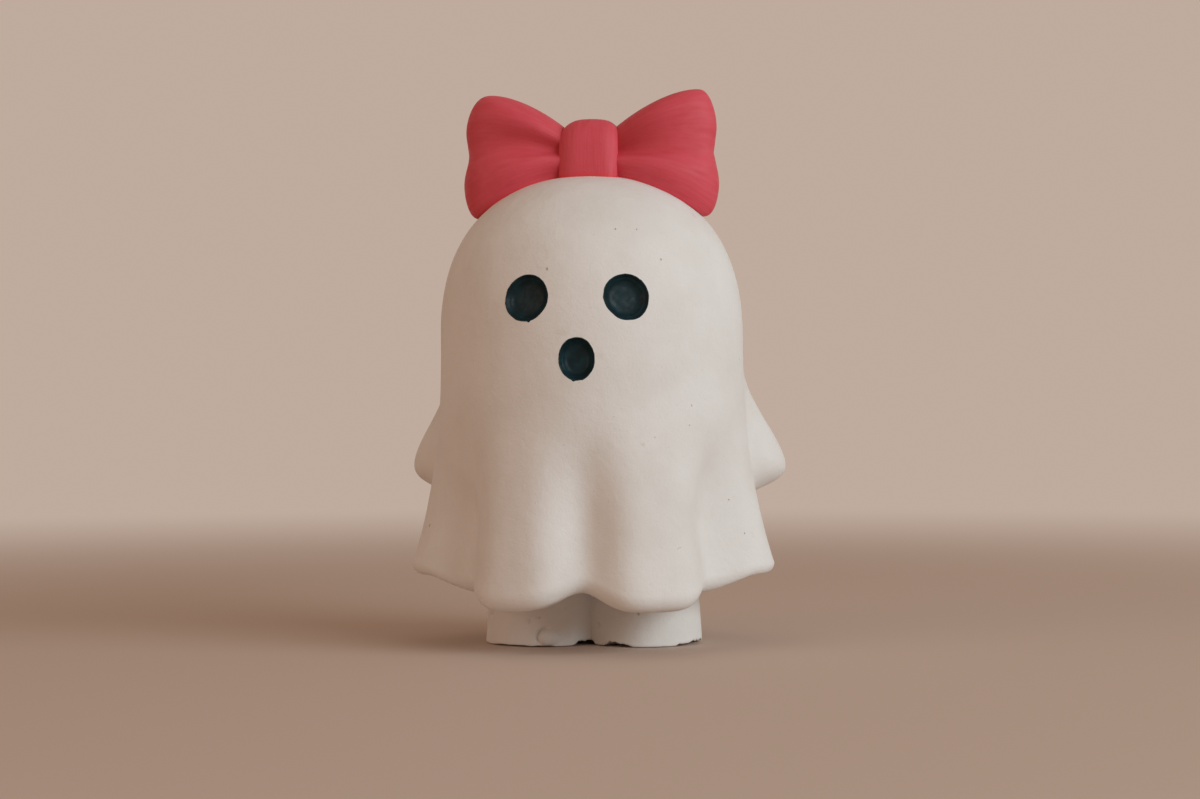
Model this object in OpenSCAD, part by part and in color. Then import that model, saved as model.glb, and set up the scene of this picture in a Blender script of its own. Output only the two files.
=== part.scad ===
// Cast ghost figure with a bow. Millimetres, face towards -Y, standing on z = 0.

/* [Head] */
// Radius of the round head where the wall leaves it
head_r = 21.8; // [19:0.1:25]
// Height at which the head starts to round over
head_spring = 44.4; // [40:0.1:50]
// Rise of the head above that height
head_rise = 22.8; // [19:0.1:27]
// Fullness of the head's curve, where 2 gives an ellipse
head_fullness = 2.3; // [2:0.01:2.6]

/* [Sheet] */
// Reach of the two side folds at the hem, from the axis
side_fold_r = 26.2; // [24.5:0.1:29]
// Reach of the front and back folds at the hem, from the axis
front_fold_r = 23.6; // [22.5:0.1:26]
// Reach of the valleys between the folds at the hem, from the axis
valley_r = 20.2; // [19.6:0.1:21.5]
// Height of the hem at the front and back
hem_front = 6.95; // [6:0.05:8.5]
// Height of the hem under the two side folds
hem_side = 10.1; // [7:0.1:13]
// How far the hem dips under each front fold and lifts at each valley
hem_wave = 0.95; // [0:0.05:1.5]
// Radius of the rounded hem under the front and back folds
hem_roll = 2.2; // [1:0.1:2.6]
// Radius of the rounded hem under the two side folds
hem_lip = 1.4; // [0.8:0.1:1.8]
// How sharply the wall turns out towards the hem
flare_power = 2.4; // [1.5:0.1:3]
// Height at which the valleys between the folds start to sink in
valley_top = 36.5; // [33:0.5:40]
// Height at which the valleys reach their full depth
valley_full = 16; // [12:0.5:20]
// Narrowness of the valleys between the folds
valley_power = 2.2; // [1:0.05:2.6]
// Degrees by which the folds crowd towards the front and the back
fold_crowding = 8; // [0:0.5:10]
// Degrees by which the side folds are swept back
side_sweep = 5; // [0:0.5:8]
// Degrees by which the folds are turned against the face
fold_angle = 3; // [-6:0.5:6]

/* [Arms] */
// How far an arm stands out from the wall before its tip is rounded
arm_reach = 7.8; // [3:0.1:8.5]
// Height at which an arm starts to leave the wall
arm_top = 42.5; // [40:0.1:44]
// Height at which the underside of an arm meets the wall
arm_bottom = 21.2; // [20:0.1:23]
// Drop over which the top of an arm reaches its full stand
arm_slope_drop = 15.5; // [13:0.1:17]
// Rise over which the underside of an arm reaches its full stand
arm_underside_rise = 3; // [1.8:0.1:4]
// How far the underside of an arm lifts towards its front and back edges
arm_flank_lift = 3.4; // [0:0.1:4]
// Width of an arm from front to back
arm_w = 13.5; // [9:0.1:17]
// Degrees by which the arms are swept back
arm_sweep = 20; // [0:0.5:24]

/* [Face] */
// Width of an eye recess
eye_w = 6.1; // [4:0.1:8]
// Height of an eye recess
eye_h = 6.1; // [4:0.1:8]
// Height of the middle of the eyes
eye_z = 48.9; // [46:0.1:52]
// Degrees from the middle of the face to each eye
eye_angle = 18.7; // [15:0.1:24]
// Width of the mouth recess
mouth_w = 4.7; // [3:0.1:7]
// Height of the mouth recess
mouth_h = 5.6; // [4:0.1:7]
// Height of the middle of the mouth
mouth_z = 40.5; // [38:0.1:42]
// Depth of the eye and mouth recesses at their middle
recess_depth = 1.4; // [0.9:0.05:2]
// Thickness of the dark enamel on the floor and wall of a recess
enamel = 0.2; // [0.1:0.05:0.3]
// Height of the enamel up the wall of a recess
enamel_rise = 0.6; // [0.4:0.05:0.7]

/* [Feet] */
// Distance from the axis to the outer side of a foot at the base
foot_reach = 15.5; // [13:0.1:16.2]
// Length of a foot from front to back at the base
foot_len = 15.6; // [12:0.1:18]
// Distance of the middle of a foot in front of the axis
foot_forward = -0.7; // [-2:0.1:1]
// How far the round of a foot would run past the middle, where the feet are cut to meet
foot_overlap = 1.2; // [0.4:0.1:2.5]
// Size of a foot's top against its base
foot_taper = 0.96; // [0.9:0.01:1]
// Squareness of the outer half of a foot's outline, where 2 gives an ellipse
foot_outer_squareness = 1.9; // [1.7:0.1:4]
// Squareness of the inner half of a foot's outline, where the feet touch
foot_inner_squareness = 1.9; // [1.7:0.1:4]

/* [Bow] */
// Width of the knot
knot_w = 8.3; // [6:0.1:10]
// Depth of the knot from front to back
knot_depth = 11; // [10.4:0.1:13]
// Height of the top of the knot above the top of the head
knot_rise = 8.1; // [6.5:0.1:9]
// Radius of the rounded edge beside each loop
knot_edge = 1.1; // [0.5:0.05:1.8]
// How far the top of the knot is crowned
knot_crown = 0.45; // [0:0.05:0.8]
// Distance from the axis to the outer end of a loop
loop_reach = 18.9; // [16.5:0.1:20]
// How far the upper half of a loop's outer end draws in
loop_draw_in = 0.7; // [0:0.1:1.2]
// How far the tops of both loops lean towards +X
loop_lean = 0.5; // [0:0.1:1.5]
// Height of the top of the right loop above the top of the head
loop_rise = 12.2; // [9:0.1:14]
// How far the top of the left loop lies below that of the right one
loop_drop = 0.4; // [0:0.1:1]
// Depth of a loop from front to back at its fullest
loop_depth = 11.6; // [9:0.1:13]
// Depth of a loop where it enters the knot
neck_depth = 8.6; // [7:0.1:10]
// How far the top of a loop's neck lies below the top of the knot
neck_drop = 1; // [0.8:0.05:2.5]
// Depth of the notch in the middle of a loop's outer end
notch_depth = 0.85; // [0:0.05:1.2]
// Share of a loop's depth that its middle crease takes away at the knot
crease_share = 0.3; // [0:0.01:0.45]

/* [Fits] */
// Gap between a seated piece and what it sits on or fits against
seat_gap = 0.05; // [0.02:0.01:0.15]

/* [Hidden] */

// Head and sheet
head_top = head_spring + head_rise;
around = 96;
dome_rings = 11;
dome_share = 0.94;
// Rings lie closest at the underside of the arms
wall_shares = concat([for (i = [0:8]) 0.06 * i], [for (i = [0:13]) 0.53 + 0.013 * i],
                     [for (i = [0:7]) 0.72 + 0.04 * i]);
lip_steps = 4;
fold_count = 6;
side_fold_half = 180 / fold_count;
side_fold_ease = 16;
sink_power = 1.3;

// Underside: a shallow recess whose flat ceiling carries the feet
ceiling_lift_share = 0.2;
hem_width_share = 1.1;
recess_slope_share = 0.3;
ceiling_z = hem_side + ceiling_lift_share * hem_lip;
recess_r = valley_r - hem_width_share * hem_roll;
ceiling_r = recess_r - recess_slope_share * hem_roll;

// Arms
arm_top_power = 1.75;
arm_round_power = 3;
arm_side_power = 1.1;
arm_blend = 1.7;
arm_half_turn = asin(arm_w / 2 / head_r);

// Face
face_sides = 40;
face_squareness = 2.2;
overrun = 1;

// Feet
foot_sides = 56;
foot_w = foot_reach + foot_overlap;
foot_middle = foot_reach - foot_w / 2;

// Bow
loop_steps = 20;
loop_rows = 16;
under_steps = 6;
knot_steps = 12;
knot_rows = 20;
knot_squareness = 3.4;
neck_start = knot_w / 2 + seat_gap;
loop_run = loop_reach - neck_start;
tip_share = 0.815;
crest_share = 0.74;
rise_shares = [[0.25, 0.45], [0.66, 1]];
swell_share = 0.55;
seat_depth_share = 0.84;
seat_rise_share = 0.25;
crease_height_shares = [0.65, 0.55];
crease_width_share = 0.11;
crease_fade = 0.6;
notch_width_share = 0.3;
end_round_power = 2.4;
outer_edge_power = 3.6;
top_edge_power = 4;
least_edge_share = 0.04;

function mix(a, b, t) = a + (b - a) * t;
function clamp01(t) = min(1, max(0, t));
function smooth(t) = let (c = clamp01(t)) c * c * (3 - 2 * c);
function bell(t) = exp(-t * t);
function signed_power(a, p) = sign(a) * pow(abs(a), p);
function bezier(p, t) = let (u = 1 - t)
    p[0] * u * u * u + 3 * p[1] * t * u * u + 3 * p[2] * t * t * u + p[3] * t * t * t;
// Height at a share of a quarter superellipse's width, and the other way round
function round_share(t, power) = pow(1 - pow(min(max(t, 0), 1), power), 1 / power);

// Height of the head's surface above the base at a distance r from the axis
function head_z(r) = head_spring + head_rise * round_share(r / head_r, head_fullness);

// Angles run from the face, positive towards +X
function fold_phase(a) = let (b = a - fold_angle) b + fold_crowding * sin(2 * b) - side_sweep * sin(b);
function fold(a) = 1 - pow((1 + cos(fold_count * fold_phase(a))) / 2, valley_power);
function fold_r(a) = mix(front_fold_r, side_fold_r, pow(sin(a), 4));
function valley_depth(a) = (fold_r(a) - valley_r) * (1 - fold(a));
function hem_r(a) = fold_r(a) - valley_depth(a);
// 1 on the two side folds and 0 on the front and back ones
function side_share(a) = smooth((side_fold_half - abs(abs(fold_phase(a)) - 90)) / side_fold_ease);
function lip(a) = mix(hem_roll, hem_lip, side_share(a));
function hem_z(a) = mix(hem_front - hem_wave * (2 * fold(a) - 1), hem_side, side_share(a));

// Stand of an arm above the wall: a soft least of its long top slope, its short underside and its tip
function soft_least(a, b) = a <= 0 || b <= 0 ? 0
    : pow(pow(a, -arm_round_power) + pow(b, -arm_round_power) + 1, -1 / arm_round_power);
function arm_stand(z, turn) =
    let (bottom = arm_bottom + arm_flank_lift * pow(min(turn, 1), 2))
    arm_reach * soft_least(pow(max(arm_top - z, 0) / arm_slope_drop, arm_top_power),
                           (z - bottom) / arm_underside_rise);
function arm_turn(a) = abs(abs(a) - 90 - arm_sweep) / arm_half_turn;
function arm_shape(a, z) =
    let (turn = arm_turn(a), low = smooth((arm_top - z) / arm_slope_drop),
         crisp = pow(max(1 - pow(turn, 2), 0), arm_side_power), soft = bell(arm_blend * turn))
    mix(soft * smooth(2 - turn), crisp, low);
function arm(a, z) = arm_stand(z, arm_turn(a)) * arm_shape(a, z);

function on_ring(a, r, z) = [r * sin(a), -r * cos(a), z];
function wall_point(a, share) =
    let (z = mix(head_spring, hem_z(a) + lip(a), share),
         sunk = valley_depth(a) * pow(smooth((valley_top - z) / (valley_top - valley_full)), sink_power),
         r = mix(head_r, fold_r(a), pow(share, flare_power)) - sunk)
    on_ring(a, r + arm(a, z), z);
function dome_point(a, i) =
    let (t = 90 * pow((i + 1) / dome_rings, dome_share), p = 2 / head_fullness)
    on_ring(a, head_r * pow(sin(t), p), head_spring + head_rise * pow(max(cos(t), 0), p));
function lip_point(a, i) =
    let (t = 90 * i / lip_steps)
    on_ring(a, hem_r(a) - lip(a) * (1 - cos(t)), hem_z(a) + lip(a) * (1 - sin(t)));

function body_ring(f) = [for (i = [0:around - 1]) let (a = 360 * i / around) f(a > 180 ? a - 360 : a)];
function body_rings() = concat(
    [for (i = [0:dome_rings - 2]) body_ring(function (a) dome_point(a, i))],
    [for (s = wall_shares) body_ring(function (a) wall_point(a, s))],
    [for (i = [1:lip_steps]) body_ring(function (a) lip_point(a, i))],
    [body_ring(function (a) on_ring(a, recess_r, hem_z(a)))],
    [body_ring(function (a) on_ring(a, ceiling_r, ceiling_z))]);

// Closed solid from rings of equal count, with a point at each end
function flat_list(rows) = [for (row = rows) for (p = row) p];
function ring_faces(rows, count) = [for (k = [0:rows - 2]) for (i = [0:count - 1])
    let (a = k * count + i, b = k * count + (i + 1) % count)
    each [[a, b, a + count], [b, b + count, a + count]]];

module ringed_solid(rings, top, bottom) {
    count = len(rings[0]);
    rows = len(rings);
    last = (rows - 1) * count;
    polyhedron(
        points = concat(flat_list(rings), [top, bottom]),
        faces = concat(
            ring_faces(rows, count),
            [for (i = [0:count - 1]) [rows * count, (i + 1) % count, i]],
            [for (i = [0:count - 1]) [rows * count + 1, last + i, last + (i + 1) % count]]),
        convexity = 6);
}

// Superellipse with its own squareness on its +X and its -X half
function superellipse(w, h, power, other_power, sides) = [for (i = [0:sides - 1])
    let (t = 360 * i / sides, p = 2 / (cos(t) > 0 ? power : other_power))
    [w * signed_power(cos(t), p) / 2, h * signed_power(sin(t), p) / 2]];

// Radius of the head at a height, and how far its surface leans back there
function head_at(z) = head_r * round_share((z - head_spring) / head_rise, head_fullness);
function head_lean(z, h) = atan((head_at(z - h / 2) - head_at(z + h / 2)) / h);

// A plug square to the head's surface, between two depths measured outwards from that surface
module face_plug(turn, z, w, h, inset, from, to) {
    rotate([0, 0, turn]) translate([0, -head_at(z), z]) rotate([90 - head_lean(z, h), 0, 0])
        translate([0, 0, from]) linear_extrude(to - from)
            polygon(superellipse(w - 2 * inset, h - 2 * inset, face_squareness, face_squareness, face_sides));
}

module face_recess(turn, z, w, h) {
    face_plug(turn, z, w, h, 0, -recess_depth, overrun);
}

module face_enamel(turn, z, w, h) {
    color("#16262b") difference() {
        face_plug(turn, z, w, h, seat_gap, -recess_depth, enamel_rise - recess_depth);
        face_plug(turn, z, w, h, seat_gap + enamel, enamel - recess_depth, overrun);
    }
}

module sheet_body() {
    color("#ede8e1") difference() {
        ringed_solid(body_rings(), [0, 0, head_top], [0, 0, ceiling_z]);
        face_recess(-eye_angle, eye_z, eye_w, eye_h);
        face_recess(eye_angle, eye_z, eye_w, eye_h);
        face_recess(0, mouth_z, mouth_w, mouth_h);
    }
}

module foot(side) {
    color("#ede8e1") mirror([side < 0 ? 1 : 0, 0, 0])
        linear_extrude(ceiling_z, scale = foot_taper)
            polygon([for (p = superellipse(foot_w, foot_len, foot_outer_squareness, foot_inner_squareness,
                                           foot_sides))
                [max(p.x + foot_middle, seat_gap / 2), p.y - foot_forward]]);
}

// Point of the seat of the bow, just above the head
function seat_point(x, y) = [x, y, head_z(norm([x, y])) + seat_gap];

// Closed solid from arches that stand on the head, each given from its front foot over to its back foot
function under_points(arch) = let (front = arch[0], back = arch[len(arch) - 1])
    [for (k = [under_steps - 1:-1:1]) seat_point(front.x, mix(front.y, back.y, k / under_steps))];
function cap_faces(base, count, last) =
    let (crown = last / 2, keel = last + under_steps / 2)
    [for (f = concat(
        [for (j = [1:crown - 2]) [j, j + 1, last - j - 1]],
        [for (j = [1:crown - 1]) [j, last - j - 1, last - j]],
        [for (k = [last:keel - 1]) [last - 1, k, k + 1]],
        [[last - 1, keel, 1]],
        [for (k = [keel:count - 1]) [1, k, (k + 1) % count]])) [for (i = f) base + i]];

module seated_solid(arches) {
    last = len(arches[0]) - 1;
    count = last + under_steps;
    rows = len(arches);
    polyhedron(
        points = [for (arch = arches) each concat(arch, under_points(arch))],
        faces = concat(
            ring_faces(rows, count),
            [for (f = cap_faces(0, count, last)) [f[2], f[1], f[0]]],
            cap_faces((rows - 1) * count, count, last)),
        convexity = 6);
}

// Knot: a band round the neck of the bow, with its edges rounded towards the loops
knot_top = head_top + knot_rise;
function knot_inset(x) = let (t = clamp01((abs(x) - knot_w / 2 + knot_edge) / knot_edge))
    knot_edge * (1 - sqrt(1 - t * t));
function knot_arch(x) =
    let (y = knot_depth / 2 - knot_inset(x), foot = seat_point(x, y).z,
         top = knot_top - knot_inset(x) - knot_crown * pow(2 * x / knot_w, 2))
    [for (j = [0:knot_rows]) let (t = 180 * j / knot_rows, p = 2 / knot_squareness)
        [x, -y * signed_power(cos(t), p), mix(foot, top, pow(abs(sin(t)), p))]];

module bow_knot() {
    color("#cf4b5d")
        seated_solid([for (i = [0:knot_steps]) knot_arch(-knot_w / 2 * cos(180 * i / knot_steps))]);
}

// Loop: a pillow whose front view is a patch between the knot, the head, the outer end and the top edge
neck_top = knot_top - neck_drop;
tip_x = neck_start + loop_run * tip_share;
function loop_crest(side) = [neck_start + loop_run * crest_share + side * loop_lean,
                             head_top + loop_rise - (side < 0 ? loop_drop : 0)];
function top_edge(crest) =
    [[neck_start, neck_top],
     each [for (r = rise_shares) [mix(neck_start, crest.x, r.x), mix(neck_top, crest.y, r.y)]],
     crest];
function edge_share(t, power) = sqrt(max(1 - pow(t, power), pow(least_edge_share, 2)));
function loop_half(u) =
    mix(neck_depth, loop_depth, sin(90 * clamp01(u / swell_share))) / 2 * edge_share(u, outer_edge_power);
function loop_profile(u, v) =
    let (crease_v = mix(crease_height_shares[0], crease_height_shares[1], u))
    edge_share(v, top_edge_power)
    * mix(seat_depth_share, 1, smooth(v / seat_rise_share))
    * (1 - crease_share * bell((v - crease_v) / crease_width_share) * pow(1 - u, crease_fade));
function loop_y(u, v) = loop_half(u) * loop_profile(u, v);
function loop_foot(u) = let (x = mix(neck_start, tip_x, u)) [x, seat_point(x, loop_y(u, 0)).z];
function loop_end(v, crest) =
    let (t = 180 * v, p = 2 / end_round_power, w = -signed_power(cos(t), p), up = (1 + w) / 2,
         inner = mix(tip_x, crest.x, up), outer = loop_reach - loop_draw_in * up)
    [mix(inner, outer, pow(sin(t), p)) - notch_depth * bell(w / notch_width_share),
     mix(loop_foot(1).y, crest.y, up)];
function loop_front(u, v, crest) =
    let (edge = top_edge(crest))
    mix(loop_foot(u), bezier(edge, u), v)
    + mix([neck_start, mix(loop_foot(0).y, neck_top, v)], loop_end(v, crest), u)
    - mix(mix(loop_foot(0), edge[0], v), mix(loop_foot(1), edge[3], v), u);
function loop_arch(u, crest) = [for (j = [0:2 * loop_rows])
    let (v = 1 - abs(j - loop_rows) / loop_rows, p = loop_front(u, v, crest), y = max(loop_y(u, v), seat_gap))
    [p.x, j < loop_rows ? -y : (j == loop_rows ? 0 : y), p.y]];

module bow_loop(side) {
    color("#cf4b5d") mirror([side < 0 ? 1 : 0, 0, 0])
        seated_solid([for (i = [0:loop_steps]) loop_arch(sin(90 * i / loop_steps), loop_crest(side))]);
}

module left_foot() { foot(-1); }
module right_foot() { foot(1); }
module bow_left_loop() { bow_loop(-1); }
module bow_right_loop() { bow_loop(1); }
module left_eye() { face_enamel(-eye_angle, eye_z, eye_w, eye_h); }
module right_eye() { face_enamel(eye_angle, eye_z, eye_w, eye_h); }
module mouth() { face_enamel(0, mouth_z, mouth_w, mouth_h); }

sheet_body();
left_foot();
right_foot();
bow_left_loop();
bow_right_loop();
bow_knot();
left_eye();
right_eye();
mouth();
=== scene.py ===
"""Looks of a cast ghost figure with a bow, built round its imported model.

Sizes and places are in millimetres until a mesh is pressed. Angles are in degrees and run from the face,
positive towards +X, unless a docstring says otherwise.
"""
import logging
import math
from collections.abc import Callable
from dataclasses import dataclass
from enum import Enum

import bmesh
import bpy
from mathutils import Matrix, Vector, noise


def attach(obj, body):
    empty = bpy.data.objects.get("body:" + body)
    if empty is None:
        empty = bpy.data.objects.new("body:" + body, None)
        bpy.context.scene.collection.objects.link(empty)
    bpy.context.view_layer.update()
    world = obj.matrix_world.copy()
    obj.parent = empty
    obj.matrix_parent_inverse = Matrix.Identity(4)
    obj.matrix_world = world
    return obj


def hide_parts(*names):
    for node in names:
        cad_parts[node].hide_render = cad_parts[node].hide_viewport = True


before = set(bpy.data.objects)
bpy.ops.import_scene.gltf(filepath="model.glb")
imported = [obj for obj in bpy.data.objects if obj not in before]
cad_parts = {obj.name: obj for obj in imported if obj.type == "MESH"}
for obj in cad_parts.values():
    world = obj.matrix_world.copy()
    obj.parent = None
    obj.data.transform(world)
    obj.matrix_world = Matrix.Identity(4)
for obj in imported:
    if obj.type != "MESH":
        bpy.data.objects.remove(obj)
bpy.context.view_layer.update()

MM = 0.001
HALF_TURN = 180.0
FULL_TURN = 360.0
STROKE = "stroke"
STROKE_DEPTH = 100.0  # Size of the strokes along the third brush coordinate, where they don't change
LOOP_OFFSET = 20.0  # How far the brush coordinates of each loop are moved, so that the two don't match
LOOP_STRETCH = 1.2  # How much higher they run than the loop
RAGGED = 0.9  # How ragged a stain is
LOG = logging.getLogger("ghost_figure")

Place = Callable[[float, float], Vector]
Colour = tuple[float, float, float]
Inputs = dict[str | int, object]
Socket = bpy.types.NodeSocket
Material = bpy.types.Material
Piece = bpy.types.Object
Shape = bmesh.types.BMesh
Axes = tuple[Vector, Vector, Vector, Vector]


class Slot(Enum):
    """The record's material slots."""

    PLASTER = "plaster"
    BOW_PAINT = "bow_paint"
    DARK_ENAMEL = "dark_enamel"


class Side(Enum):
    """The side of the figure as someone who looks at the face sees it."""

    LEFT = -1
    RIGHT = 1

    def word(self) -> str:
        """Gives its name as the pieces and nodes spell it."""
        return self.name.lower()


def mix(low: float, high: float, share: float) -> float:
    """Gives the value at a share of the way from low to high."""
    return low + (high - low) * share


def clamp(value: float, low: float = 0.0, high: float = 1.0) -> float:
    """Keeps a value between low and high."""
    return min(high, max(low, value))


def smooth(share: float) -> float:
    """Eases a share in and out between 0 and 1."""
    kept = clamp(share)
    return kept * kept * (3 - 2 * kept)


def bell(distance: float) -> float:
    """Gives a rounded bump, 1 at no distance and near 0 at 2."""
    return math.exp(-distance * distance)


def sine(angle: float) -> float:
    """Gives the sine of an angle in degrees."""
    return math.sin(math.radians(angle))


def cosine(angle: float) -> float:
    """Gives the cosine of an angle in degrees."""
    return math.cos(math.radians(angle))


def round_share(share: float, power: float) -> float:
    """Gives the height at a share of a quarter superellipse's width."""
    return (1 - clamp(share) ** power) ** (1 / power)


def super_radius(angle: float, half_w: float, half_h: float, power: float) -> float:
    """Gives a superellipse's radius.

    Args:
        angle: Direction from its middle, from its width axis.
        half_w: Half of its width.
        half_h: Half of its height.
        power: Its squareness, 2 for an ellipse.

    Returns:
        The distance from the middle to the outline.
    """
    wide = abs(cosine(angle) / half_w) ** power
    high = abs(sine(angle) / half_h) ** power
    return (wide + high) ** (-1 / power)


def station(along: float, facets: int) -> float:
    """Gives the share of the way at which a ring of facets lies, 0 at the first ring and 1 at the last."""
    return clamp((round(along * facets) - 1) / (facets - 2))


def bezier(points: list[Vector], share: float) -> Vector:
    """Gives a point of a cubic curve.

    Args:
        points: The curve's start, its two handles and its end.
        share: Share of the way along it.

    Returns:
        The point at that share.
    """
    start, leave, arrive, end = points
    rest = 1 - share
    return (start * rest ** 3 + leave * 3 * share * rest ** 2
            + arrive * 3 * share ** 2 * rest + end * share ** 3)


def on_ring(angle: float, radius: float, z: float) -> Vector:
    """Gives the point at an angle, a distance from the axis and a height."""
    return Vector((radius * sine(angle), -radius * cosine(angle), z))


def angle_of(point: Vector) -> float:
    """Gives the angle from the face at which a point lies."""
    return math.degrees(math.atan2(point.x, -point.y))


@dataclass(frozen=True)
class Ripple:
    """A fixed, smooth waviness."""

    rise: float  # How high its waves are
    size: float  # Length of one wave
    layer: float = 0.0  # Number of its layer, so that two layers don't match

    def share(self, point: Vector) -> float:
        """Gives the share of its height at a point."""
        return clamp(noise.noise(point / self.size + Vector((self.layer, 0.0, 0.0))) / 2 + 0.5)

    def at(self, point: Vector) -> float:
        """Gives its height at a point."""
        return self.rise * self.share(point)

    def swing(self, point: Vector) -> float:
        """Gives its height at a point, above or below its mean."""
        return self.rise * (self.share(point) - 0.5)


@dataclass(frozen=True)
class Mark:
    """A departure from a smooth outline, given by its place, size and width."""

    at: float  # Angle or distance at which it lies
    size: float  # How far it stands out, or goes in if it is negative
    width: float  # Angle or distance over which it fades

    def pull(self, where: float) -> float:
        """Gives the departure at a place."""
        return self.size * bell((where - self.at) / self.width)

    def pull_round(self, angle: float) -> float:
        """Gives the departure at an angle, the short way round."""
        gap = (angle - self.at + HALF_TURN) % FULL_TURN - HALF_TURN
        return self.size * bell(gap / self.width)


@dataclass(frozen=True)
class Moulding:
    """A closed skin pressed out of a ball."""

    around: int  # Number of facets round the skin
    along: int  # Number of facets from its first pole to its last
    place: Place  # Gives a point from its share round and its share along
    stroke: Place | None = None  # Gives the brush coordinates of a point, where the skin is brushed

    def add_to(self, shape: Shape) -> None:
        """Adds the skin to a shape.

        Args:
            shape: The shape that gets it.
        """
        layer = shape.verts.layers.float_vector.new(STROKE) if self.stroke else None
        ball = bmesh.ops.create_uvsphere(shape, u_segments=self.around, v_segments=self.along, radius=1.0)
        for vert in ball["verts"]:
            polar = math.acos(clamp(vert.co.z, -1.0, 1.0)) / math.pi
            turn = math.atan2(vert.co.y, vert.co.x) / math.tau
            along = round(polar * self.along) / self.along
            around = round(turn * self.around) % self.around / self.around
            vert.co = self.place(around, along) * MM
            if layer:
                vert[layer] = self.stroke(around, along)

    def press(self, name: str, sharp: float) -> Piece:
        """Makes the skin a piece of its own.

        Args:
            name: Name of the piece.
            sharp: Angle between two facets above which their edge is crisp.

        Returns:
            The piece.
        """
        shape = bmesh.new()
        self.add_to(shape)
        return settle(shape, name, sharp)


def stand(name: str, data: bpy.types.ID) -> Piece:
    """Puts a mesh, a light or a camera in the scene.

    Args:
        name: Name of its object.
        data: The mesh, light or camera.

    Returns:
        The object, at the origin.
    """
    made = bpy.data.objects.new(name, data)
    bpy.context.scene.collection.objects.link(made)
    return made


def settle(shape: Shape, name: str, sharp: float) -> Piece:
    """Turns a shape into a piece of the scene.

    Args:
        shape: The finished shape, which is used up.
        name: Name of the piece.
        sharp: Angle between two facets above which their edge is crisp.

    Returns:
        The piece, at the origin.
    """
    bmesh.ops.recalc_face_normals(shape, faces=shape.faces)
    mesh = bpy.data.meshes.new(name)
    shape.to_mesh(mesh)
    shape.free()
    piece = stand(name, mesh)
    crease(piece, sharp)
    return piece


def crease(piece: Piece, sharp: float) -> None:
    """Shades a piece smooth, apart from the edges between facets at more than a sharp angle."""
    piece.data.shade_smooth()
    piece.data.set_sharp_from_angle(angle=math.radians(sharp))


def carve(piece: Piece, cutter: Piece, sharp: float) -> None:
    """Cuts a shape out of a piece for good.

    Args:
        piece: The piece.
        cutter: The shape to cut away, which is used up.
        sharp: Angle between two facets above which their edge is crisp.
    """
    cut = piece.modifiers.new("carve", "BOOLEAN")
    cut.operation = "DIFFERENCE"
    cut.solver = "EXACT"
    cut.object = cutter
    graph = bpy.context.evaluated_depsgraph_get()
    carved = bpy.data.meshes.new_from_object(piece.evaluated_get(graph))
    piece.modifiers.clear()
    piece.data = carved
    bpy.data.objects.remove(cutter)
    crease(piece, sharp)


def hand_over(piece: Piece, node: str, material: Material) -> None:
    """Dresses a piece and puts it in a node's place.

    Args:
        piece: The finished piece.
        node: The node that it stands for.
        material: Its finish.
    """
    piece.data.materials.clear()
    piece.data.materials.append(material)
    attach(piece, "root")
    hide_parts(node)
    LOG.info("%s: %d faces, for node %s", piece.name, len(piece.data.polygons), node)


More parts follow.
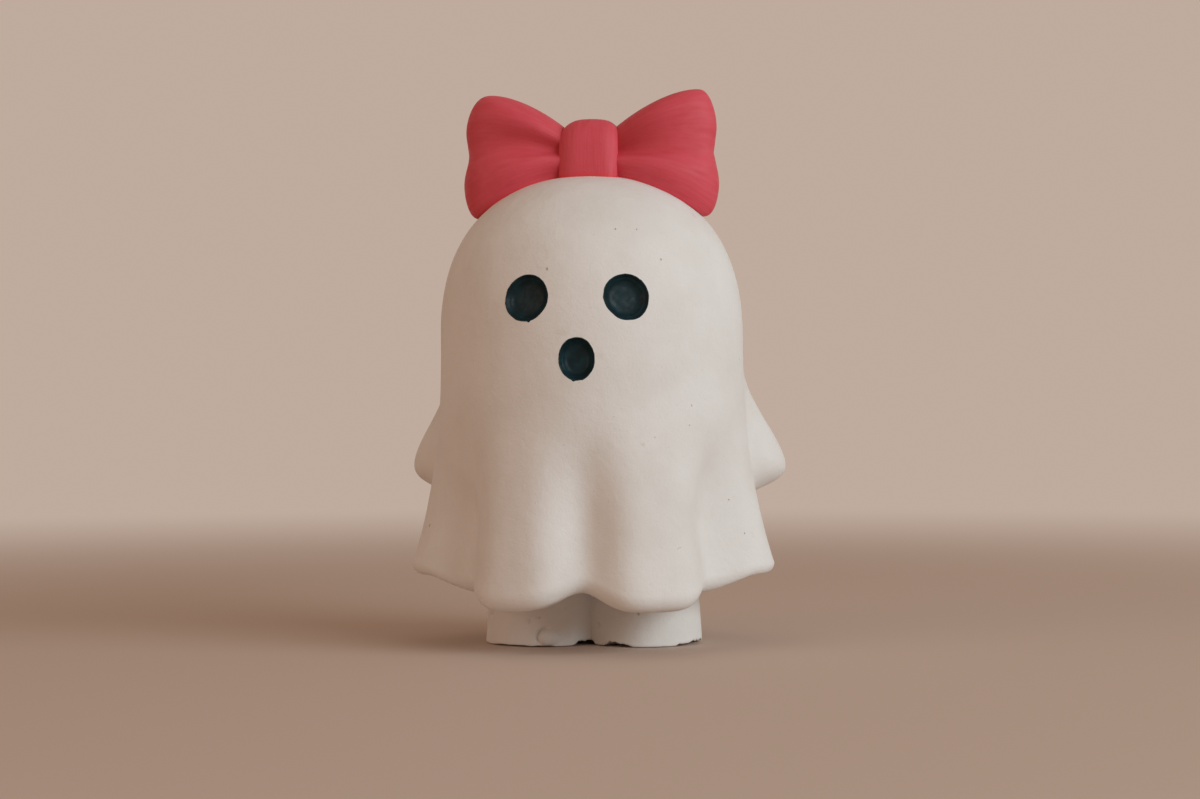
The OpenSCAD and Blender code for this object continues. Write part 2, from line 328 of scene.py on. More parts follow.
class Wiring:
    """A shader node tree while its nodes are placed and joined."""

    def __init__(self, tree: bpy.types.NodeTree) -> None:
        """Takes hold of a tree."""
        self.tree = tree

    def add(self, kind: str, inputs: Inputs | None = None, **settings: object) -> bpy.types.Node:
        """Places a node.

        Args:
            kind: The node's type.
            inputs: Values or sockets for its inputs, by name or number.
            settings: The node's own settings.

        Returns:
            The node.
        """
        node = self.tree.nodes.new(kind)
        for key, value in settings.items():
            setattr(node, key, value)
        for key, value in (inputs or {}).items():
            self.feed(node.inputs[key], value)
        return node

    def feed(self, socket: Socket, value: object) -> None:
        """Gives an input its value.

        Args:
            socket: The input.
            value: A socket to join it to, or a plain value.
        """
        if isinstance(value, Socket):
            self.tree.links.new(value, socket)
        else:
            socket.default_value = value

    def group(self, group: bpy.types.NodeTree, inputs: Inputs) -> Socket:
        """Places a shared effect and gives its mask."""
        return self.add("ShaderNodeGroup", inputs, node_tree=group).outputs["Mask"]

    def math(self, operation: str, *values: Socket | float) -> Socket:
        """Works out a number from others."""
        return self.add("ShaderNodeMath", dict(enumerate(values)), operation=operation).outputs[0]

    def measure(self, operation: str, *vectors: Socket) -> Socket:
        """Works out a length from vectors."""
        node = self.add("ShaderNodeVectorMath", dict(enumerate(vectors)), operation=operation)
        return node.outputs["Value"]

    def noise(self, place: Socket, scale: Socket | float, detail: Socket | float) -> Socket:
        """Gives a noise pattern."""
        inputs = {"Vector": place, "Scale": scale, "Detail": detail}
        return self.add("ShaderNodeTexNoise", inputs).outputs["Fac"]

    def glow(self, kind: str, colour: Colour, power: float = 1.0) -> Socket:
        """Gives the light of a background or an emission."""
        return self.add(kind, {"Color": (*colour, 1.0), "Strength": power}).outputs[0]

    def either(self, mask: Socket, none: Socket, full: Socket) -> Socket:
        """Mixes two shaders, the second where the mask is 1."""
        return self.add("ShaderNodeMixShader", {0: mask, 1: none, 2: full}).outputs[0]

    def times(self, mask: Socket, other: Socket | float) -> Socket:
        """Gives a mask where another one holds, or a share of it."""
        return self.math("MULTIPLY", mask, other)

    def ramp(self, value: Socket, none: Socket | float, full: Socket | float, **settings: object) -> Socket:
        """Fades a mask from 0, where a value is none, to 1, where it is full."""
        ends = {"Value": value, "From Min": none, "From Max": full}
        return self.add("ShaderNodeMapRange", ends, **settings).outputs["Result"]

    def level(self, mask: Socket, low: float, high: float) -> Socket:
        """Spreads a mask between two levels."""
        ends = {"Value": mask, "To Min": low, "To Max": high}
        return self.add("ShaderNodeMapRange", ends).outputs["Result"]

    def blend(self, mask: Socket, under: Socket | Colour, over: Socket | Colour) -> Socket:
        """Mixes two colours.

        Args:
            mask: Share of the second.
            under: The first colour or its socket.
            over: The second colour or its socket.

        Returns:
            The mixed colour.
        """
        node = self.add("ShaderNodeMix", {"Factor": mask}, data_type="RGBA")
        for name, value in (("A", under), ("B", over)):
            socket = next(s for s in node.inputs if s.name == name and s.type == "RGBA")
            self.feed(socket, (*value, 1.0) if isinstance(value, tuple) else value)
        return next(s for s in node.outputs if s.type == "RGBA")


class Effects:
    """Node groups that several finishes share, each built once."""

    def __init__(self) -> None:
        """Builds the groups."""
        self.cloud = self._group("cloud", ("Vector", "Size", "Detail", "Low", "High"), self._cloud)
        self.strokes = self._group("strokes", ("Vector", "Length", "Width", "Low", "High"), self._strokes)
        self.spot = self._group("spot", ("Vector", "Centre", "Radius", "Ragged"), self._spot)

    @staticmethod
    def _group(name: str, labels: tuple[str, ...],
               draw: Callable[[Wiring, bpy.types.NodeOutputs], Socket]) -> bpy.types.NodeTree:
        """Builds a group that gives one mask.

        Args:
            name: Its name.
            labels: Its inputs.
            draw: Draws the mask with the group's wiring, from the group's inputs.

        Returns:
            The group.
        """
        tree = bpy.data.node_groups.new(name, "ShaderNodeTree")
        for label in labels:
            kind = "NodeSocketVector" if label in ("Vector", "Centre") else "NodeSocketFloat"
            tree.interface.new_socket(name=label, in_out="INPUT", socket_type=kind)
        tree.interface.new_socket(name="Mask", in_out="OUTPUT", socket_type="NodeSocketFloat")
        wiring = Wiring(tree)
        mask = draw(wiring, wiring.add("NodeGroupInput").outputs)
        wiring.add("NodeGroupOutput", {"Mask": mask})
        return tree

    @staticmethod
    def _cloud(wiring: Wiring, given: bpy.types.NodeOutputs) -> Socket:
        """Draws soft clouds whose low and high ends are cut off.

        Args:
            wiring: The group's wiring.
            given: The group's inputs.

        Returns:
            The mask.
        """
        scale = wiring.math("DIVIDE", 1 / MM, given["Size"])
        clouds = wiring.noise(given["Vector"], scale, given["Detail"])
        return wiring.ramp(clouds, given["Low"], given["High"])

    @staticmethod
    def _strokes(wiring: Wiring, given: bpy.types.NodeOutputs) -> Socket:
        """Draws brush strokes that run along the first brush coordinate.

        Args:
            wiring: The group's wiring.
            given: The group's inputs.

        Returns:
            The mask.
        """
        sides = {"X": given["Length"], "Y": given["Width"], "Z": STROKE_DEPTH}
        size = wiring.add("ShaderNodeCombineXYZ", sides).outputs[0]
        place = wiring.add("ShaderNodeVectorMath", {0: given["Vector"], 1: size}, operation="DIVIDE")
        return wiring.ramp(wiring.noise(place.outputs[0], 1.0, 3.0), given["Low"], given["High"])

    @staticmethod
    def _spot(wiring: Wiring, given: bpy.types.NodeOutputs) -> Socket:
        """Draws one ragged spot round a centre.

        Args:
            wiring: The group's wiring.
            given: The group's inputs.

        Returns:
            The mask.
        """
        gap = wiring.measure("DISTANCE", given["Vector"], given["Centre"])
        far = wiring.math("DIVIDE", gap, given["Radius"])
        outside, inside, waves = 1.4, 0.5, 1.5
        rough = wiring.noise(given["Vector"], waves / MM, 2.0)
        return wiring.ramp(wiring.math("MULTIPLY_ADD", rough, given["Ragged"], far), outside, inside)


def shader(name: str, inputs: Inputs) -> tuple[Material, Wiring, bpy.types.Node]:
    """Starts a material.

    Args:
        name: Name of the material.
        inputs: Plain values for the shader's inputs.

    Returns:
        The material, its wiring and its shader node.
    """
    material = bpy.data.materials.new(name)
    material.use_nodes = True
    principled = next(n for n in material.node_tree.nodes if n.type == "BSDF_PRINCIPLED")
    for key, value in inputs.items():
        principled.inputs[key].default_value = value
    return material, Wiring(material.node_tree), principled


@dataclass(frozen=True)
class Stain:
    """A ragged spot of another colour."""

    centre: Vector  # Its middle
    radius: float
    tint: Colour  # Its colour
    share: float  # How much of that colour shows


class Finish:
    """A material while its colours are laid over each other. Sizes of its patterns are in millimetres."""

    def __init__(self, name: str, gloss: float, base: Colour, effects: Effects) -> None:
        """Starts the material.

        Args:
            name: Its name.
            gloss: Its specular level.
            base: Its first colour.
            effects: The shared node groups.
        """
        self.material, self.wiring, self.shader = shader(name, {"Specular IOR Level": gloss})
        self.place = self.wiring.add("ShaderNodeTexCoord").outputs["Object"]
        self.effects = effects
        self.colour = base

    def cloud(self, size: float, low: float, high: float, detail: float = 3.0) -> Socket:
        """Gives clouds of one size, 0 below a low level and 1 above a high one."""
        return self.wiring.group(self.effects.cloud, {
            "Vector": self.place, "Size": size, "Detail": detail, "Low": low, "High": high})

    def stroke(self) -> Socket:
        """Gives the brush coordinates."""
        return self.wiring.add("ShaderNodeAttribute", attribute_name=STROKE).outputs["Vector"]

    def hairs(self, length: float, width: float, low: float, high: float) -> Socket:
        """Gives brush strokes of one length and width, 0 below a low level and 1 above a high one."""
        return self.wiring.group(self.effects.strokes, {
            "Vector": self.stroke(), "Length": length, "Width": width, "Low": low, "High": high})

    def lay(self, mask: Socket, tint: Colour, share: float = 1.0) -> None:
        """Lays a colour over those before, where a mask holds and as much as a share says."""
        self.colour = self.wiring.blend(self.wiring.times(mask, share), self.colour, tint)

    def stain(self, stain: Stain) -> None:
        """Lays a stain over the colours before."""
        spot = self.wiring.group(self.effects.spot, {
            "Vector": self.place, "Centre": stain.centre * MM, "Radius": stain.radius * MM, "Ragged": RAGGED})
        self.lay(spot, stain.tint, stain.share)

    def done(self, rough: Socket, low: float, high: float, *bumps: tuple[Socket, float]) -> Material:
        """Ends the material.

        Args:
            rough: Mask of its roughness.
            low: Roughness where that mask is 0.
            high: Roughness where it is 1.
            bumps: Masks of its relief and their heights, each over the one before.

        Returns:
            The material.
        """
        feed, inputs = self.wiring.feed, self.shader.inputs
        feed(inputs["Base Color"], self.colour)
        feed(inputs["Roughness"], self.wiring.level(rough, low, high))
        socket = inputs["Normal"]
        for height, rise in reversed(bumps):
            bump = self.wiring.add("ShaderNodeBump", {"Height": height, "Distance": rise * MM})
            feed(socket, bump.outputs["Normal"])
            socket = bump.inputs["Normal"]
        return self.material


@dataclass(frozen=True)
class Plaster:
    """Bare cast plaster: matte, faintly mottled, with a fine grain and a few stains."""

    base: Colour = (0.82, 0.80, 0.78)  # Its clean colour
    dull: Colour = (0.77, 0.742, 0.708)  # The colour of its clouds
    earth: Colour = (0.60, 0.50, 0.40)  # The colour of its specks
    gloss: float = 0.35  # Its specular level
    stains: tuple[Stain, ...] = ()

    def material(self, effects: Effects) -> Material:
        """Mixes the finish.

        Args:
            effects: The shared node groups.

        Returns:
            The material.
        """
        finish = Finish("bare_plaster", self.gloss, self.base, effects)
        finish.lay(finish.cloud(9.0, 0.42, 0.72), self.dull)
        finish.lay(finish.cloud(0.9, 0.62, 0.74, detail=2.0), self.dull, share=0.35)
        finish.lay(finish.cloud(0.35, 0.72, 0.78, detail=1.0), self.earth, share=0.3)
        for stain in self.stains:
            finish.stain(stain)
        skin, grain = finish.cloud(1.6, 0.3, 0.7), finish.cloud(0.28, 0.3, 0.7, detail=2.0)
        return finish.done(finish.cloud(2.5, 0.35, 0.65), 0.72, 0.9, (skin, 0.035), (grain, 0.010))


@dataclass(frozen=True)
class ShadeBand:
    """Painted shade above the crease of one loop, where its upper flank turns down from the lamps, placed by
    brush coordinates.
    """

    below: tuple[float, float]  # Where it is bare and where it is full at its lower edge
    above: tuple[float, float]  # The same at its upper edge
    along: tuple[float, float]  # The same along the loop
    share: float  # How much of its colour shows


@dataclass(frozen=True)
class BowPaint:
    """Coral paint brushed on plaster, with dry streaks, a wetter line at its lower edge, painted shade above
    the loops' creases and painted shade at the left loop's outer end.
    """

    base: Colour = (0.70, 0.080, 0.110)
    dry: Colour = (0.72, 0.112, 0.150)  # The paler colour of its dry streaks
    deep: Colour = (0.60, 0.054, 0.070)  # The colour where it lies thick
    wet: Colour = (0.74, 0.055, 0.070)  # The colour of its lower edge
    # Heights above the seat at which that edge ends and at which it is full
    wet_edge: tuple[float, float] = (0.75, 0.25)
    shade_colour: Colour = (0.44, 0.030, 0.034)  # The colour of the painted shade above the creases
    # Its bands of painted shade above the creases, on the right loop and on the left one
    shade_bands: tuple[ShadeBand, ...] = (ShadeBand((25.6, 27.8), (35.0, 30.5), (13.0, 3.5), 0.75),
                               ShadeBand((-13.4, -12.0), (-8.6, -11.4), (24.0, 8.0), 0.5))
    gloss: float = 0.3  # Its specular level
    chips: tuple[Stain, ...] = ()  # Its chips, which show the plaster, and painted shade at the left loop's outer end

    def material(self, effects: Effects) -> Material:
        """Mixes the finish.

        Args:
            effects: The shared node groups.

        Returns:
            The material.
        """
        finish = Finish("brushed_bow_paint", self.gloss, self.base, effects)
        wiring = finish.wiring
        finish.lay(finish.hairs(9.0, 0.45, 0.42, 0.68), self.dry, share=0.40)
        finish.lay(finish.hairs(6.0, 0.8, 0.50, 0.72), self.deep, share=0.45)
        finish.lay(finish.cloud(3.5, 0.50, 0.75), self.deep, share=0.35)
        place = wiring.add("ShaderNodeSeparateXYZ", {"Vector": finish.stroke()}).outputs
        # Painted shade above each loop's crease, where its upper flank turns down from the lamps
        for shade_band in self.shade_bands:
            height = wiring.times(wiring.ramp(place["Y"], *shade_band.below), wiring.ramp(place["Y"], *shade_band.above))
            finish.lay(wiring.times(height, wiring.ramp(place["X"], *shade_band.along)), self.shade_colour, shade_band.share)
        ragged = wiring.level(finish.cloud(1.2, 0.3, 0.6), 0.45, 1.0)
        finish.lay(wiring.times(wiring.ramp(place["Z"], *self.wet_edge), ragged), self.wet)
        # Spots over the paint: chips that show the plaster, and painted shade at the left loop's outer end
        for chip in self.chips:
            finish.stain(chip)
        ridges, grain = finish.hairs(8.0, 0.30, 0.3, 0.7), finish.cloud(0.3, 0.3, 0.7)
        return finish.done(finish.hairs(5.0, 0.6, 0.35, 0.65), 0.48, 0.68, (ridges, 0.016), (grain, 0.006))


@dataclass(frozen=True)
class Enamel:
    """Dark teal paint, half glossy and a little lumpy."""

    base: Colour = (0.007, 0.021, 0.026)
    thin: Colour = (0.013, 0.044, 0.056)  # The colour where it lies thin
    gloss: float = 0.16  # Its specular level

    def material(self, effects: Effects) -> Material:
        """Mixes the finish.

        Args:
            effects: The shared node groups.

        Returns:
            The material.
        """
        finish = Finish("dark_enamel", self.gloss, self.base, effects)
        finish.lay(finish.cloud(1.8, 0.45, 0.7), self.thin, share=0.7)
        lumps = finish.cloud(0.8, 0.3, 0.7)
        return finish.done(finish.cloud(0.7, 0.35, 0.65), 0.30, 0.55, (lumps, 0.012))


@dataclass(frozen=True)
class Arm:
    """One of the two stubby arms that stand out of the sheet."""

    reach: float = 7.8  # How far it stands out before its tip is rounded
    top: float = 42.5  # Height at which it starts to leave the wall
    bottom: float = 21.2  # Height at which its underside meets the wall
    slope_drop: float = 15.5  # Drop over which its top reaches its full stand
    underside_rise: float = 3.0  # Rise over which its underside reaches its full stand
    flank_lift: float = 3.4  # How far its underside lifts towards its front and back edges
    width: float = 13.5  # Its width from front to back
    sweep: float = 20.0  # Degrees by which it is swept back
    top_power: float = 1.75  # How late its top leaves the wall
    round_power: float = 3.0  # How tightly its tip is rounded
    side_power: float = 1.1  # How steep its lower flanks are
    fade: float = 1.7  # How softly its top fades into the wall

    def swell(self, angle: float, z: float, wall_r: float) -> float:
        """Gives how far the arm stands out of the wall.

        Args:
            angle: Angle from the face.
            z: Height.
            wall_r: Radius of the wall that carries it.

        Returns:
            The distance from the wall to the arm's skin.
        """
        half_turn = math.degrees(math.asin(self.width / 2 / wall_r))
        turn = abs(abs(angle) - HALF_TURN / 2 - self.sweep) / half_turn
        above = (max(self.top - z, 0.0) / self.slope_drop) ** self.top_power
        below = (z - self.bottom - self.flank_lift * min(turn, 1.0) ** 2) / self.underside_rise
        if above <= 0 or below <= 0:
            return 0.0
        stand = (above ** -self.round_power + below ** -self.round_power + 1) ** (-1 / self.round_power)
        crisp = max(1 - turn ** 2, 0.0) ** self.side_power
        soft = bell(self.fade * turn) * smooth(2 - turn)
        return self.reach * stand * mix(soft, crisp, smooth((self.top - z) / self.slope_drop))


@dataclass(frozen=True)
class Pore:
    """A pinhole left by an air bubble."""

    angle: float  # Its angle from the face
    z: float  # Its height
    radius: float  # Radius of the bubble


@dataclass(frozen=True)
class Sheet:
    """The draped sheet: a round head, a wall that flares into folds, and a rolled hem."""

    arm: Arm = Arm()  # The shape of its arms
    pores: tuple[Pore, ...] = ()  # Its pinholes
    # Where its hem was trimmed higher than its folds ask for, by angle from the face
    trim: Mark = Mark(-5.0, 0.9, 12.0)
    head_r: float = 21.8  # Radius of the head where the wall leaves it
    head_spring: float = 44.4  # Height at which the head starts to round over
    head_rise: float = 22.8  # Rise of the head above that height
    head_fullness: float = 2.3  # Fullness of the head's curve
    side_fold_r: float = 26.2  # Reach of the side folds at the hem
    front_fold_r: float = 23.6  # Reach of the front and back folds at the hem
    valley_r: float = 20.2  # Reach of the valleys between the folds
    hem_front: float = 6.95  # Height of the hem at the front and back
    hem_side: float = 10.1  # Height of the hem under the side folds
    hem_wave: float = 0.95  # How far the hem dips under a fold and lifts at a valley
    hem_roll: float = 2.2  # Radius of the rolled hem at the front and back
    hem_lip: float = 1.4  # Radius of the rolled hem under the side folds
    flare_power: float = 2.4  # How sharply the wall turns out
    valley_top: float = 36.5  # Height at which the valleys start
    valley_full: float = 16.0  # Height at which they reach their full depth
    valley_power: float = 2.2  # Narrowness of the valleys
    sink_power: float = 1.3  # How softly the valleys start
    side_ease: float = 16.0  # Degrees over which the hem steps up to the side folds' own height
    reach_power: int = 4  # How narrowly the folds' reach grows to that of the side folds
    fold_count: int = 6  # Number of folds
    fold_crowding: float = 8.0  # Degrees by which the folds crowd to the front and back
    side_sweep: float = 5.0  # Degrees by which the side folds are swept back
    fold_angle: float = 3.0  # Degrees by which the folds are turned against the face
    ceiling_lift: float = 0.2  # Height of the ceiling under it above the hem, as a share of the side lip
    # How far the recess under it lies inside the valleys, as a share of the hem's roll
    recess_inset: float = 1.1
    recess_slope: float = 0.3  # How far the wall of that recess leans in, as a share of the hem's roll
    # The waviness of its skin
    cast: tuple[Ripple, ...] = (Ripple(0.15, 13.0), Ripple(0.06, 4.5, 7.0), Ripple(0.02, 1.6, 3.0))
    pore_sink: float = 0.3  # How far the middle of a pinhole lies below the skin, as a share of its radius
    dome_spacing: float = 0.94  # How the head's rings are spaced, below 1 where they are closer at the wall
    wall_crowding: float = 0.09  # How unevenly those of the wall are spaced
    wall_widest: float = 0.1  # Where they are widest apart, as a share of them, half of them from the closest
    around: int = 300  # Facets round it
    dome_rings: int = 56  # Rings of facets down the head
    wall_rings: int = 124  # Rings of facets down the wall
    lip_rings: int = 10  # Rings of facets round the rolled hem
    under_rings: int = 10  # Rings of facets over the underside
    flat_rings: int = 2  # The ones of them on the hem's flat bottom
    sharp: float = 38.0  # Angle above which an edge is crisp

    def ceiling(self) -> float:
        """Gives the height of the flat ceiling under the sheet."""
        return self.hem_side + self.ceiling_lift * self.hem_lip

    def top(self) -> float:
        """Gives the height of the top of the head."""
        return self.head_spring + self.head_rise

    def rings(self) -> int:
        """Gives the number of rings from the top of the head to the middle of the underside."""
        return self.dome_rings + self.wall_rings + self.lip_rings + self.under_rings

    def head_z(self, radius: float) -> float:
        """Gives the height of the head at a distance from the axis."""
        return self.head_spring + self.head_rise * round_share(radius / self.head_r, self.head_fullness)

    def head_at(self, z: float) -> float:
        """Gives the radius of the head at a height."""
        return self.head_r * round_share((z - self.head_spring) / self.head_rise, self.head_fullness)

    def phase(self, angle: float) -> float:
        """Gives the place among evenly spaced folds that an angle from the face stands for."""
        turned = angle - self.fold_angle
        return turned + self.fold_crowding * sine(2 * turned) - self.side_sweep * sine(turned)

    def fold(self, angle: float) -> float:
        """Gives how much of a fold lies at an angle, 0 in a valley and 1 on a fold."""
        return 1 - ((1 + cosine(self.fold_count * self.phase(angle))) / 2) ** self.valley_power

    def side_share(self, angle: float) -> float:
        """Gives how much of a side fold lies at an angle, 0 on a front or back fold and 1 on a side fold."""
        off = abs(abs(self.phase(angle)) - HALF_TURN / 2)
        return smooth((HALF_TURN / self.fold_count - off) / self.side_ease)

    def fold_r(self, angle: float) -> float:
        """Gives the folds' reach at the hem at an angle, as if there were no valleys."""
        return mix(self.front_fold_r, self.side_fold_r, sine(angle) ** self.reach_power)

    def valley_depth(self, angle: float) -> float:
        """Gives how deep a valley is at the hem at an angle."""
        return (self.fold_r(angle) - self.valley_r) * (1 - self.fold(angle))

    def hem_z(self, angle: float) -> float:
        """Gives the hem's height at an angle."""
        front = self.hem_front - self.hem_wave * (2 * self.fold(angle) - 1) + self.trim.pull(angle)
        return mix(front, self.hem_side, self.side_share(angle))

    def lip(self, angle: float) -> float:
        """Gives the radius of the rolled hem at an angle."""
        return mix(self.hem_roll, self.hem_lip, self.side_share(angle))

    def wall_r(self, angle: float, z: float) -> float:
        """Gives the distance from the axis to the skin.

        Args:
            angle: Angle from the face.
            z: Height.

        Returns:
            The radius of the head or of the wall, arms included.
        """
        if z >= self.head_spring:
            return self.head_at(z)
        share = clamp((self.head_spring - z) / (self.head_spring - self.hem_z(angle) - self.lip(angle)))
        sunk = smooth((self.valley_top - z) / (self.valley_top - self.valley_full)) ** self.sink_power
        wall = mix(self.head_r, self.fold_r(angle), share ** self.flare_power)
        return wall - self.valley_depth(angle) * sunk + self.arm.swell(angle, z, self.head_r)

    def waver(self, point: Vector) -> float:
        """Gives how far the cast skin lies inside its true form."""
        return sum(ripple.at(point) for ripple in self.cast)

    def skin(self, angle: float, z: float) -> Vector:
        """Gives the point of the skin at an angle and a height, waves included."""
        radius = self.wall_r(angle, z)
        return on_ring(angle, radius - self.waver(on_ring(angle, radius, z)), z)

    def wall_share(self, share: float) -> float:
        """Gives the share of the wall's height at a share of its rings, closest at the arms' underside."""
        first = math.sin(math.tau * self.wall_widest)
        return share + self.wall_crowding * (math.sin(math.tau * (share - self.wall_widest)) + first)

    def place(self, around: float, along: float) -> Vector:
        """Gives a point of the skin.

        Args:
            around: Share round the sheet, from its back.
            along: Share of the rings from the top of the head to the middle of the underside.

        Returns:
            The point.
        """
        angle = FULL_TURN * around - HALF_TURN
        ring = round(along * self.rings())
        if ring <= self.dome_rings:
            polar = HALF_TURN / 2 * (ring / self.dome_rings) ** self.dome_spacing
            power = 2 / self.head_fullness
            true = on_ring(angle, self.head_r * sine(polar) ** power,
                           self.head_spring + self.head_rise * max(cosine(polar), 0.0) ** power)
            out = true - Vector((0.0, 0.0, self.head_spring))
            return true - out.normalized() * self.waver(true)
        ring -= self.dome_rings
        hem_r, hem_z, lip = self.fold_r(angle) - self.valley_depth(angle), self.hem_z(angle), self.lip(angle)
        if ring <= self.wall_rings:
            z = mix(self.head_spring, hem_z + lip, self.wall_share(ring / self.wall_rings))
            return self.skin(angle, z)
        ring -= self.wall_rings
        if ring <= self.lip_rings:
            roll = HALF_TURN / 2 * ring / self.lip_rings
            waver = self.waver(on_ring(angle, hem_r, hem_z + lip))
            inward = lip * (1 - cosine(roll)) + waver * cosine(roll)
            return on_ring(angle, hem_r - inward, hem_z + lip * (1 - sine(roll)))
        ring -= self.lip_rings
        recess_r = self.valley_r - self.recess_inset * self.hem_roll
        if ring <= self.flat_rings:
            return on_ring(angle, mix(hem_r - lip, recess_r, ring / self.flat_rings), hem_z)
        reach = 1 - (ring - self.flat_rings - 1) / (self.under_rings - self.flat_rings - 1)
        return on_ring(angle, (recess_r - self.recess_slope * self.hem_roll) * reach, self.ceiling())

    def build(self, hollows: "tuple[Hollow, ...]") -> Piece:
        """Casts the sheet and cuts its hollows and pinholes.

        Args:
            hollows: The eyes and the mouth.

        Returns:
            The piece.
        """
        piece = Moulding(self.around, self.rings(), self.place).press("cast_sheet", self.sharp)
        cutter = bmesh.new()
        for hollow in hollows:
            hollow.moulding(hollow.RECESS).add_to(cutter)
        for pore in self.pores:
            skin = self.skin(pore.angle, pore.z)
            inward = (Vector((0.0, 0.0, min(pore.z, self.head_spring))) - skin).normalized()
            bubble = bmesh.ops.create_icosphere(cutter, subdivisions=2, radius=pore.radius * MM)
            centre = skin + inward * pore.radius * self.pore_sink
            bmesh.ops.translate(cutter, verts=bubble["verts"], vec=centre * MM)
        carve(piece, settle(cutter, "hollows", self.sharp), self.sharp)
        return piece


@dataclass(frozen=True)
class Course:
    """One ring of a hollow's skin."""

    inset: float  # How far it lies inside the brushed outline
    depth: float  # Share of the depth, 0 at the head's skin and 1 at the floor
    lift: float  # How far it is lifted outwards from there
    reach: float = 1.0  # Share of the radius, less than 1 on the floor
    spill: float = 0.0  # Share of the enamel's spill that it takes
    lumps: float = 0.0  # Height of the paint's lumps on it


@dataclass(frozen=True)
class Hollow:
    """An eye or the mouth: a recess in the head and the enamel brushed into it."""

    node: str
    sheet: Sheet  # The sheet that it is cut into
    angle: float  # Angle of its middle from the face
    z: float  # Height of its middle
    width: float
    height: float
    # Departures of its outline, as shares of its radius, by angle from its right side
    dents: tuple[Mark, ...]
    drips: tuple[Mark, ...] = ()  # Runs of enamel over its edge, by the same angle
    depth: float = 1.4  # Depth at its middle
    squareness: float = 2.1  # Squareness of its outline
    around: int = 144  # Facets round it
    sharp: float = 60.0  # Angle above which an edge is crisp

    RECESS = tuple(Course(*ring) for ring in (
        (0.0, 0.0, 1.0, 0.0), (-0.30, 0.0, 0.8), (-0.16, 0.0, 0.03), (-0.08, 0.0, -0.03), (-0.03, 0.0, -0.09),
        (0.0, 0.0, -0.20), (0.02, 0.4, 0.0), (0.04, 0.8, 0.0), (0.07, 1.0, 0.14), (0.15, 1.0, 0.05),
        (0.30, 1.0, 0.0), *((0.3, 1.0, 0.0, 1 - step / 6) for step in range(1, 7))))
    COAT = tuple(Course(*ring) for ring in (
        *((0.10, 1 - (step / 20) ** 7, 0.08, step / 20, 0.0, 0.05) for step in range(19)),
        (0.10, 0.42, 0.0, 0.945), (0.10, 0.27, 0.0, 0.975), (0.09, 0.0, -0.24), (0.05, 0.0, -0.17),
        (0.01, 0.0, -0.10), (-0.05, 0.0, -0.02), (-0.10, 0.0, 0.03, 1.0, 0.4), (-0.13, 0.0, 0.03, 1.0, 0.85),
        (-0.15, 0.0, 0.005, 1.0, 1.0), (-0.13, 0.0, -0.04, 1.0, 0.85), (0.0, 0.0, -0.15), (0.01, 0.0, -0.25),
        (0.03, 0.5, 0.0), (0.05, 1.0, 0.12), (0.2, 1.0, -0.02), (0.2, 1.0, -0.04, 0.5),
        (0.2, 1.0, -0.04, 0.0)))
    PASSES = 5  # Steps in which the depth of the head's skin is found
    HAND = (Ripple(0.022, 0.45, 5.0), Ripple(0.010, 0.12, 9.0))  # The brush's wobble
    RAGS = Ripple(0.07, 0.2, 2.0)  # The raggedness of the spill
    LUMPS = Ripple(1.0, 0.9, 4.0)  # The lumps of the paint

    def edge(self, angle: float) -> float:
        """Gives the radius of the brushed outline.

        Args:
            angle: Angle from its right side.

        Returns:
            The distance from the middle to the outline.
        """
        smooth_r = super_radius(angle, self.width / 2, self.height / 2, self.squareness)
        hand = sum(ripple.swing(on_ring(angle, 1.0, self.angle)) for ripple in self.HAND)
        return smooth_r * (1 + hand + sum(dent.pull_round(angle) for dent in self.dents))

    def spill(self, angle: float) -> float:
        """Gives how far the enamel runs over the edge at an angle."""
        return self.RAGS.at(on_ring(angle, 1.0, self.z)) + sum(drip.pull_round(angle) for drip in self.drips)

    def axes(self) -> Axes:
        """Finds the hollow's own axes.

        Returns:
            The directions to the right, up along the head and out of it, and the hollow's middle.
        """
        away = on_ring(self.angle, 1.0, 0.0)
        drop = self.sheet.head_at(self.z - self.height / 2) - self.sheet.head_at(self.z + self.height / 2)
        lean = math.atan(drop / self.height)
        out = away * math.cos(lean) + Vector((0.0, 0.0, math.sin(lean)))
        across = Vector((cosine(self.angle), sine(self.angle), 0.0))
        return across, out.cross(across), out, self.sheet.skin(self.angle, self.z)

    def skin_depth(self, x: float, y: float, axes: Axes) -> float:
        """Finds how far the head's skin curves away from the hollow's own plane.

        Args:
            x: Place to the right of the middle.
            y: Place above the middle.
            axes: The hollow's own axes.

        Returns:
            The distance from the plane to the skin.
        """
        across, up, out, origin = axes
        flat = origin + across * x + up * y
        depth = 0.0
        for _ in range(self.PASSES):
            point = flat - out * depth
            skin = self.sheet.skin(angle_of(point), point.z)
            depth += (point.xy.length - skin.xy.length) / out.xy.length
        return depth

    def moulding(self, courses: tuple[Course, ...]) -> Moulding:
        """Lays out one of the hollow's two skins.

        Args:
            courses: Its rings, from pole to pole.

        Returns:
            The moulding.
        """
        axes = across, up, out, origin = self.axes()
        last = len(courses) - 1

        def place(around: float, along: float) -> Vector:
            """Gives a point of the skin.

            Args:
                around: Share round the hollow, from its right side.
                along: Share of the rings from pole to pole.

            Returns:
                The point.
            """
            course = courses[round(along * last)]
            angle = FULL_TURN * around
            radius = (self.edge(angle) - course.inset + course.spill * self.spill(angle)) * course.reach
            x, y = radius * cosine(angle), radius * sine(angle)
            height = mix(-self.skin_depth(x, y, axes), -self.depth, course.depth) + course.lift
            point = origin + across * x + up * y + out * height
            return point + out * (course.lumps * self.LUMPS.swing(point))

        return Moulding(self.around, last, place)

    def build(self) -> Piece:
        """Brushes the enamel into the recess."""
        return self.moulding(self.COAT).press(f"brushed_{self.node}", self.sharp)


